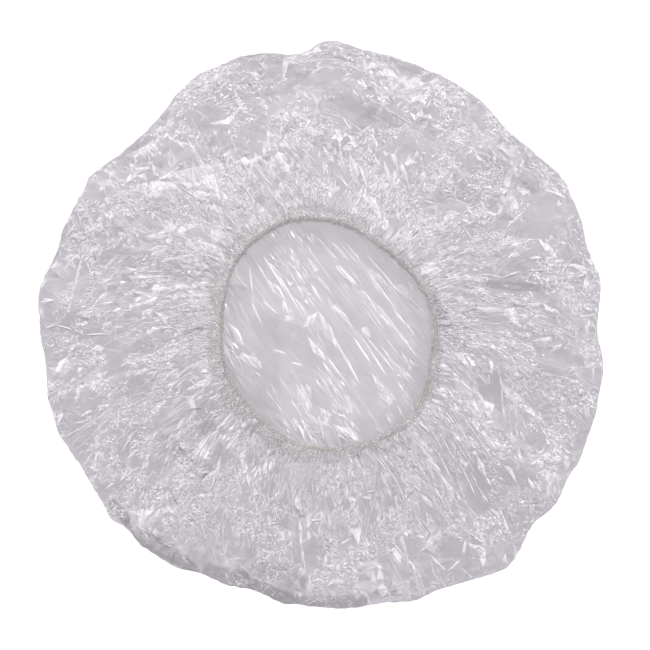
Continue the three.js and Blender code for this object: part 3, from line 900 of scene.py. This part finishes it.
def facet_layer(nt, coords, across, along, slope, cut):
    """Flat facets with random tilts, as a height in metres; a share of them stays level."""
    comb = nt.nodes.new("ShaderNodeCombineXYZ")
    nt.links.new(math_node(nt, "DIVIDE", coords[0], across), comb.inputs["X"])
    nt.links.new(math_node(nt, "DIVIDE", coords[1], along), comb.inputs["Y"])
    vor = nt.nodes.new("ShaderNodeTexVoronoi")
    vor.voronoi_dimensions = "2D"
    vor.inputs["Scale"].default_value = 1.0
    nt.links.new(comb.outputs[0], vor.inputs["Vector"])
    off = nt.nodes.new("ShaderNodeVectorMath")
    off.operation = "SUBTRACT"
    nt.links.new(comb.outputs[0], off.inputs[0])
    nt.links.new(vor.outputs["Position"], off.inputs[1])
    tilt = nt.nodes.new("ShaderNodeVectorMath")
    tilt.operation = "SUBTRACT"
    tilt.inputs[1].default_value = (0.5, 0.5, 0.5)
    nt.links.new(vor.outputs["Color"], tilt.inputs[0])
    dot = nt.nodes.new("ShaderNodeVectorMath")
    dot.operation = "DOT_PRODUCT"
    nt.links.new(off.outputs[0], dot.inputs[0])
    nt.links.new(tilt.outputs[0], dot.inputs[1])
    sep = nt.nodes.new("ShaderNodeSeparateColor")
    nt.links.new(vor.outputs["Color"], sep.inputs[0])
    live = math_node(nt, "GREATER_THAN", sep.outputs["Blue"], cut)
    return math_node(nt, "MULTIPLY", math_node(nt, "MULTIPLY", dot.outputs["Value"], live), across * slope)


def film_material(name, dark, light, alpha, rough, facets, highlight_gain_and_haze):
    m, nt, bsdf, coord = node_material(name)
    patch = noise_node(nt, coord, 70.0, 3.0)
    col = ramp_node(nt, patch.outputs["Fac"], [(0.32, dark), (0.68, light)])
    painted_shade_attr = nt.nodes.new("ShaderNodeAttribute")
    painted_shade_attr.attribute_name = "layers_and_painted_shade"
    painted_shade_mix = nt.nodes.new("ShaderNodeMix")
    painted_shade_mix.data_type = "RGBA"
    nt.links.new(painted_shade_attr.outputs["Fac"], painted_shade_mix.inputs["Factor"])
    nt.links.new(col.outputs["Color"], painted_shade_mix.inputs["A"])
    # Painted shade: the colour goes towards 0.58 of the dark tone where the attribute is high.
    painted_shade_mix.inputs["B"].default_value = (*(0.58 * v for v in dark), 1.0)
    # Painted highlight: faces in the patches go towards a paler tone, broken up by a fine grain noise.
    painted_highlight = nt.nodes.new("ShaderNodeAttribute")
    painted_highlight.attribute_name = "painted_highlight"
    grain = range_node(nt, noise_node(nt, coord, 1500.0, 3.0).outputs["Fac"], 0.15, 1.0)
    pale = nt.nodes.new("ShaderNodeMix")
    pale.data_type = "RGBA"
    nt.links.new(math_node(nt, "MULTIPLY", painted_highlight.outputs["Fac"], grain.outputs["Result"]), pale.inputs["Factor"])
    nt.links.new(painted_shade_mix.outputs["Result"], pale.inputs["A"])
    pale.inputs["B"].default_value = (*(highlight_gain_and_haze * v for v in light), 1.0)
    nt.links.new(pale.outputs["Result"], bsdf.inputs["Base Color"])
    highlight_gain_and_haze = noise_node(nt, coord, 160.0, 2.0)
    rr = range_node(nt, highlight_gain_and_haze.outputs["Fac"], *rough)
    nt.links.new(rr.outputs["Result"], bsdf.inputs["Roughness"])
    heights = [facet_layer(nt, plan_coords(nt, coord, turn), *rest) for turn, *rest in facets]
    height = heights[0]
    for h in heights[1:]:
        height = math_node(nt, "ADD", height, h)
    b = nt.nodes.new("ShaderNodeBump")
    b.inputs["Strength"].default_value = 1.0
    b.inputs["Distance"].default_value = 1.0
    nt.links.new(height, b.inputs["Height"])
    nt.links.new(b.outputs["Normal"], bsdf.inputs["Normal"])
    bsdf.inputs["Alpha"].default_value = alpha
    bsdf.inputs["IOR"].default_value = 1.5
    bsdf.inputs["Specular IOR Level"].default_value = 1.0
    bsdf.inputs["Coat Weight"].default_value = 1.0
    bsdf.inputs["Coat Roughness"].default_value = 0.08
    bsdf.inputs["Coat IOR"].default_value = 1.7
    return m


# Facets: direction, size across, size along (metres), slope, share that stays level.
FILM = film_material("clear_film", (0.262, 0.249, 0.269), (0.282, 0.268, 0.289), 0.75, (0.12, 0.22),
                     ((0.35, 0.0022, 0.0045, 0.25, 0.6),), 1.9)
# The crown's film is the same film with a darker base colour as painted shade, and streaks of its own.
CROWN_FILM_SHADED = film_material("clear_film_crown_shaded", (0.230, 0.219, 0.237), (0.250, 0.238, 0.257), 0.78, (0.16, 0.26),
                           ((STREAK, 0.0018, 0.009, 0.25, 0.6),), 1.6)
HEM_FILM = film_material("hem_film", (0.235, 0.227, 0.226), (0.300, 0.290, 0.289), 0.42, (0.20, 0.30),
                         ((0.5, 0.0009, 0.0012, 0.5, 0.4),), 1.0)


def elastic_material():
    m, nt, bsdf, coord = node_material("elastic_thread")
    n = noise_node(nt, coord, 420.0, 3.0)
    # The thread's own grey, darkened as painted shade so that it shows as a dark line through the hem.
    col = ramp_node(nt, n.outputs["Fac"], [(0.3, (0.225, 0.218, 0.203)), (0.7, (0.30, 0.291, 0.272))])
    nt.links.new(col.outputs["Color"], bsdf.inputs["Base Color"])
    rr = range_node(nt, n.outputs["Fac"], 0.55, 0.8)
    nt.links.new(rr.outputs["Result"], bsdf.inputs["Roughness"])
    return m


ELASTIC_SHADED = elastic_material()

# ---------------------------------------------------------------------------
# Crown: the middle of the disc, out to the fold.


def make_crown():
    rng = np.random.default_rng(31)
    th = np.linspace(-np.pi, np.pi, 720, endpoint=False)

    def rim(d, step):
        t = th[::step]
        r = out_radius(t) - d
        return np.stack([POLE[0] + r * np.cos(t), POLE[1] + r * np.sin(t)], -1)

    fill_x, fill_y = in_ring(0, 150)(rng, 4200)
    fill = np.stack([fill_x, fill_y], -1)
    d = out_radius(np.arctan2(fill_y - POLE[1], fill_x - POLE[0])) - np.hypot(fill_x - POLE[0], fill_y - POLE[1])
    points = np.vstack([fill[d > 4.5]] + [rim(v, 1) for v in (0.12, 0.45)] + [rim(v, 2) for v in (0.9, 1.8, 3.2)] + [rim(0.0, 1)])
    p = np.vstack([f.pts[[a for a, _ in f.segs]] for f in CROWN] + [n.segments()[0] for n in CROWN_NETS]
                  + [c for c, _ in CROWN_PAINTED_HIGHLIGHTS])
    q = np.vstack([f.pts[[b for _, b in f.segs]] for f in CROWN] + [n.segments()[1] for n in CROWN_NETS]
                  + [np.roll(c, -1, 0) for c, _ in CROWN_PAINTED_HIGHLIGHTS])

    def inside(v):
        t = np.arctan2(v[:, 1] - POLE[1], v[:, 0] - POLE[0])
        return np.hypot(v[:, 0] - POLE[0], v[:, 1] - POLE[1]) < out_radius(t) - 1.0

    keep = inside(p) & inside(q)
    verts, tris = triangulate(points, p[keep], q[keep], len(th))
    mid = verts[tris].mean(1)
    t = np.arctan2(mid[:, 1] - POLE[1], mid[:, 0] - POLE[0])
    tris = tris[np.hypot(mid[:, 0] - POLE[0], mid[:, 1] - POLE[1]) < out_radius(t)]
    x, y = verts[:, 0], verts[:, 1]
    return tone(mesh_tris("film_crown", x, y, crown_height(x, y), tris), x, y, CROWN_LAYERS_AND_SHADE, CROWN_PAINTED_HIGHLIGHTS)


crown = make_crown()
crown.data.materials.append(CROWN_FILM_SHADED)
crown.visible_shadow = False        # clear film lets the light through
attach(crown, "crown")
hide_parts("crown_film")

# ---------------------------------------------------------------------------
# Skirt: twelve sectors of the same film, each lapping over the next.


SPAN = 36.0                      # half-width of a sector in the flat chart
ROWS_V = np.linspace(0, 1, 201)
ROWS_W = np.cumsum(np.r_[0, 1 / (1 + 1.2 * ROWS_V[1:] ** 2)]) / 200 * 82.0     # closer rows towards the mouth


def sector_half(k, v):
    """Half-angle of a sector with its laps, at a share v of the way in from the fold."""
    along = 82.0 * v
    drift = 0.6 * wave(v * 18.0 + k, 40 + k, 5, 1, 6) * v
    return math.radians(15) + (1.6 + 0.205 * along + drift) / (137.0 - along)


def sector_mesh(k, name):
    centre = math.radians(30 * k)
    rng = np.random.default_rng(700 + k)

    def chart(xy):
        th = np.arctan2(xy[:, 1] - POLE[1], xy[:, 0] - POLE[0])
        r = np.hypot(xy[:, 0] - POLE[0], xy[:, 1] - POLE[1])
        ro, ri = out_radius(th), ring_radius(th) + 0.6
        v = np.clip((ro - r) / (ro - ri), -0.2, 1.2)
        t = ((th - centre + np.pi) % (2 * np.pi) - np.pi) / sector_half(k, np.clip(v, 0, 1))
        return np.stack([t * SPAN, np.interp(v, ROWS_V, ROWS_W) + 40 * np.minimum(v, 0) + 40 * np.maximum(v - 1, 0)], -1)

    top = ROWS_W[-1]

    def close(x, y):
        return np.abs((np.arctan2(y - POLE[1], x - POLE[0]) - centre + np.pi) % (2 * np.pi) - np.pi) < 0.75

    near = [f for f in SKIRT if close(f.x, f.y)]
    nets = [(w, n.part(close)) for w, n in SKIRT_NETS]
    nets = [(w, n) for w, n in nets if len(n.tris)]
    patches = [(c, much) for c, much in SKIRT_PAINTED_HIGHLIGHTS if close(*c.mean(0))]
    p = np.vstack([f.pts[[a for a, _ in f.segs]] for f in near] + [n.segments()[0] for _, n in nets] + [c for c, _ in patches])
    q = np.vstack([f.pts[[b for _, b in f.segs]] for f in near] + [n.segments()[1] for _, n in nets]
                  + [np.roll(c, -1, 0) for c, _ in patches])
    p, q = clip_segments(chart(p), chart(q), (-SPAN, np.interp(0.016, ROWS_V, ROWS_W)), (SPAN, top - 0.05))
    sides = np.linspace(0, top, 60)
    fold = np.linspace(-SPAN, SPAN, 90)
    mouth = np.linspace(-SPAN, SPAN, 120)
    rows = [np.stack([fold, np.full(90, np.interp(d / 82.0, ROWS_V, ROWS_W))], -1) for d in (0.0, 0.12, 0.45, 0.9)]
    fill = np.stack([rng.uniform(-SPAN, SPAN, 420), rng.uniform(1.5, top, 420)], -1)
    points = np.vstack(rows + [np.stack([mouth, np.full(120, top)], -1), fill]
                       + [np.stack([np.full(60, s * SPAN), sides], -1) for s in (-1, 1)])
    verts, tris = triangulate(points, p, q)
    T = verts[:, 0] / SPAN
    v = np.interp(verts[:, 1], ROWS_W, ROWS_V)
    half = sector_half(k, v)
    th = centre + T * half
    ro = out_radius(th)
    r = ro + (ring_radius(th) + 0.6 - ro) * v
    x = POLE[0] + r * np.cos(th)
    y = POLE[1] + r * np.sin(th)
    z = skirt_height(x, y, near, nets)
    mid_r = 137.0 - 82.0 * v
    edge = (np.abs(T) * half - math.radians(15)) * mid_r + 3.0
    z = z + np.sign(T) * 0.45 * smooth(0, 4.0, edge) * smooth(0.02, 0.12, v)
    return tone(mesh_tris(name, x, y, z, tris), x, y, SKIRT_LAYERS_AND_SHADE, patches)


def thinned(ob, share):
    """Takes out the least facets, down to this share of them."""
    ob.modifiers.new("thin", "DECIMATE").ratio = share
    graph = bpy.context.evaluated_depsgraph_get()
    me = bpy.data.meshes.new_from_object(ob.evaluated_get(graph), preserve_all_data_layers=True, depsgraph=graph)
    ob.modifiers.clear()
    full, ob.data = ob.data, me
    bpy.data.meshes.remove(full)
    me.name = ob.name
    return ob


for k in range(SECTORS):
    name = f"{k + 1:02d}"
    ob = thinned(sector_mesh(k, f"film_skirt_{name}"), 0.84)
    ob.data.materials.append(FILM)
    ob.visible_shadow = False
    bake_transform(ob)
    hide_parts(f"skirt_pleat_{name}")

# ---------------------------------------------------------------------------
# Hem casing: a ruffled tube of film round the elastic, one length per sector.


HEM_SECTION = np.array([
    (6.0, -0.5), (5.1, 0.1), (4.2, 0.5), (3.3, 0.8), (2.4, 1.1), (1.5, 1.35), (0.6, 1.55), (-0.4, 1.6), (-1.3, 1.3), (-1.9, 0.6),
    (-2.2, -0.4), (-2.4, -1.4), (-1.4, -1.2), (0.0, -1.0), (1.6, -0.95), (3.4, -0.9), (5.0, -0.9)])


HEM_WIDTH = np.array([0.6, 0.65, 0.85, 1.15, 1.15, 1.2, 1.1, 0.7])      # every 45 degrees
HEM_LIP = np.array([0.9, 1.0, 1.0, 0.7, 0.5, 0.6, 0.9, 1.0])


def hem_points(k, along=120):
    """A flattened tube of film, finely puckered all over and ragged along its outer side."""
    centre = math.radians(30 * k)
    half = math.radians(15) + 8.6 / 56.0
    rng = np.random.default_rng(300 + k)
    around = len(HEM_SECTION)
    t = np.linspace(-1, 1, along)[:, None]
    step = 2 * half / along
    th = centre + t * half + step * rng.uniform(-0.45, 0.45, (along, around))
    arc = (centre + t * half) * 56 + np.zeros((1, around))
    width = periodic(HEM_WIDTH, th) + 0.5 * lattice(arc, np.full_like(arc, 7.0), 7.0, 240) + rng.uniform(-0.2, 0.2, (along, 1))
    width = width * (1 - 0.7 * smooth(0.5, 1.0, np.abs(t)))
    out = np.where(HEM_SECTION[:, 0] > 0, width, periodic(HEM_LIP, th)) * HEM_SECTION[:, 0] + rng.uniform(-0.26, 0.26, (along, around))
    top = HEM_SECTION[:, 1] > 0
    lift = HEM_SECTION[:, 1] + np.where(top, rng.uniform(-0.32, 0.32, (along, around)), rng.uniform(-0.1, 0.1, (along, around)))
    side = (k % 2) * 2 - 1
    r = ring_radius(th) + 0.3 * side + out + 0.8 * lattice(arc, np.full_like(arc, 3.3), 3.0, 241)
    z = MOUTH_Z + 0.25 * side + lift
    return np.stack([POLE[0] + r * np.cos(th), POLE[1] + r * np.sin(th), z], -1).transpose(1, 0, 2)


for k in range(SECTORS):
    name = f"{k + 1:02d}"
    ob = mesh_grid(f"hem_ruffle_{name}", hem_points(k), close_u=True, smooth_faces=False)
    ob.data.materials.append(HEM_FILM)
    ob.visible_shadow = False
    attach(ob, f"pleat_{name}")
    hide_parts(f"hem_casing_{name}")

# ---------------------------------------------------------------------------
# Elastic thread inside the hem.


def thread_points(lo, hi, out, dz, radius, along, around=10):
    t = np.linspace(0, 1, along)
    a = np.linspace(0, 2 * np.pi, around, endpoint=False)
    T, A = np.meshgrid(t, a, indexing="ij")
    th = lo + (hi - lo) * T
    rad = radius * (1 + 0.07 * np.sin(3 * A + th * 260))
    rad = rad * np.where((T < 1e-6) | (T > 1 - 1e-6), 0.02, 1.0)
    r = ring_radius(th) + out + rad * np.cos(A)
    z = MOUTH_Z + dz + rad * np.sin(A)
    return np.stack([POLE[0] + r * np.cos(th), POLE[1] + r * np.sin(th), z], -1).transpose(1, 0, 2)


for k in range(SECTORS):
    name = f"{k + 1:02d}"
    c = math.radians(30 * k)
    half = math.radians(15) + 8.0 / 56.0
    side = (k % 2) * 2 - 1
    ob = mesh_grid(f"elastic_thread_{name}", thread_points(c - half, c + half, -0.7, -0.1 + 0.2 * side, 0.7, 90), close_u=True)
    ob.data.materials.append(ELASTIC_SHADED)
    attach(ob, f"pleat_{name}")
    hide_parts(f"elastic_band_{name}")

lap = mesh_grid("elastic_lap", thread_points(math.radians(325), math.radians(335), 0.9, 0.2, 0.7, 30), close_u=True)
lap.data.materials.append(ELASTIC_SHADED)
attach(lap, "pleat_12")
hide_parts("elastic_lap_end")

# ---------------------------------------------------------------------------
# What each sheet was cut to. The film is one disc 450 mm across: the crown is
# The film is one disc 450 mm across: the crown is its middle 280 mm and each skirt sector a twelfth of the ring outside
# it.

# ---------------------------------------------------------------------------
# Floor, light and camera

floor_me = bpy.data.meshes.new("floor")
floor_me.from_pydata([(-3, -3, -0.0002), (3, -3, -0.0002), (3, 3, -0.0002), (-3, 3, -0.0002)], [], [(0, 1, 2, 3)])
floor = bpy.data.objects.new("floor", floor_me)
bpy.context.scene.collection.objects.link(floor)
fm, fnt, fb, fco = node_material("floor_white")
fb.inputs["Base Color"].default_value = (0.88, 0.88, 0.88, 1)
fb.inputs["Roughness"].default_value = 0.9
fb.inputs["Specular IOR Level"].default_value = 0.1
floor.data.materials.append(fm)

# Light tent: dark overhead, bright all round at about 45 degrees, paler towards the ground.
world = bpy.data.worlds.new("studio")
bpy.context.scene.world = world
world.use_nodes = True
wnt = world.node_tree
wco = wnt.nodes.new("ShaderNodeTexCoord")
wsep = wnt.nodes.new("ShaderNodeSeparateXYZ")
wnt.links.new(wco.outputs["Generated"], wsep.inputs[0])
tent = ramp_node(wnt, wsep.outputs["Z"], [(z, (v / 8, v / 8, v / 8)) for z, v in (
    (0.0, 0.25), (0.40, 0.4), (0.54, 1.2), (0.64, 3.8), (0.72, 4.6), (0.80, 3.4), (0.88, 1.1), (0.94, 0.5), (1.0, 0.35))])
az = math_node(wnt, "ARCTAN2", wsep.outputs["Y"], wsep.outputs["X"])
side = math_node(wnt, "MULTIPLY", math_node(wnt, "COSINE", math_node(wnt, "SUBTRACT", az, math.radians(85))), 0.26)
beat = math_node(wnt, "MULTIPLY", math_node(wnt, "COSINE", math_node(wnt, "MULTIPLY", az, 2.0)), 0.14)
gain = math_node(wnt, "ADD", math_node(wnt, "ADD", side, beat), 1.0)
lean = wnt.nodes.new("ShaderNodeVectorMath")
lean.operation = "DOT_PRODUCT"
lean.inputs[1].default_value = (math.cos(math.radians(85)), math.sin(math.radians(85)), 0.0)
wnt.links.new(wco.outputs["Generated"], lean.inputs[0])
slant = wnt.nodes.new("ShaderNodeMapRange")
slant.interpolation_type = "SMOOTHSTEP"
slant.inputs["From Min"].default_value = -0.45
slant.inputs["From Max"].default_value = 0.45
slant.inputs["To Max"].default_value = 0.80
wnt.links.new(lean.outputs["Value"], slant.inputs["Value"])
bg = wnt.nodes["Background"]
bg.inputs["Color"].default_value = (1.0, 0.985, 1.0, 1)
glow = math_node(wnt, "MULTIPLY", math_node(wnt, "MULTIPLY", tent.outputs["Color"], gain), 6.6)
wnt.links.new(math_node(wnt, "ADD", glow, slant.outputs["Result"]), bg.inputs["Strength"])


def softbox(name, az, el, dist, size, power):
    light = bpy.data.lights.new(name, "AREA")
    light.shape = "DISK"
    light.size = size
    light.energy = power
    ob = bpy.data.objects.new(name, light)
    a, e = math.radians(az), math.radians(el)
    ob.location = (dist * math.cos(a) * math.cos(e), dist * math.sin(a) * math.cos(e), dist * math.sin(e))
    direction = -ob.location.normalized()
    ob.rotation_euler = direction.to_track_quat("-Z", "Y").to_euler()
    bpy.context.scene.collection.objects.link(ob)


for i, (az, power) in enumerate(((35, 0.35), (125, 0.4), (215, 0.28), (305, 0.2))):
    softbox(f"softbox_{i}", az, 47, 1.5, 0.3, power)

cam = bpy.data.cameras.new("camera")
cam_ob = bpy.data.objects.new("camera", cam)
bpy.context.scene.collection.objects.link(cam_ob)
cx, cy = photo_xy(325, 325)
DIST = 1.6
cam_ob.location = (cx * 0.001, cy * 0.001, DIST + 0.006)
cam_ob.rotation_euler = (0, 0, 0)
cam.sensor_width = 36
cam.lens = 36 * DIST / (650 * PX * 0.001)
bpy.context.scene.camera = cam_ob
bpy.context.scene.view_settings.view_transform = "Standard"
bpy.context.scene.cycles.transparent_max_bounces = 24
